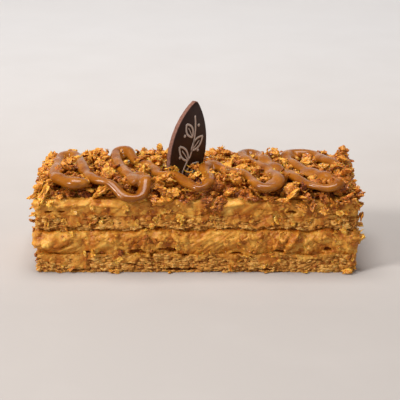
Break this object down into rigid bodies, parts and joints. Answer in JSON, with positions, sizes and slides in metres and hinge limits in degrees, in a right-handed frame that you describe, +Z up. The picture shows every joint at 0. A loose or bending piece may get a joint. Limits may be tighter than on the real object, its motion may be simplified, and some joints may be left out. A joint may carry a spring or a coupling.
{
  "type": "mille feuille slice",
  "caption": "Oblong mille feuille slice: flaky pastry and caramel cream in layers, a crumb topping with piped caramel, and an upright leaf-shaped chocolate plaque.",
  "frame": {"origin": "bottom centre of the whole slice's box, on the surface that it stands on", "axes": "+X along the slice's long side, +Z up; the cut side with the fuller view faces -Y"},
  "size_m": [0.1247, 0.051, 0.0595],
  "materials": {
    "baked_pastry": "dry flaky crumb, matt",
    "caramel_cream": "soft satin cream",
    "caramelised_crumbs": "brittle crumbs with a sugary shine",
    "caramel": "smooth and glossy",
    "dark_chocolate": "satin, with a pale printed pattern"
  },
  "bodies": {
    "root": {"pastry_bottom": "baked_pastry", "cream_lower": "caramel_cream", "pastry_middle": "baked_pastry", "cream_top": "caramel_cream", "crumb_topping": "caramelised_crumbs", "caramel_drizzle": "caramel", "chocolate_plaque": "dark_chocolate"}
  },
  "joints": []
}
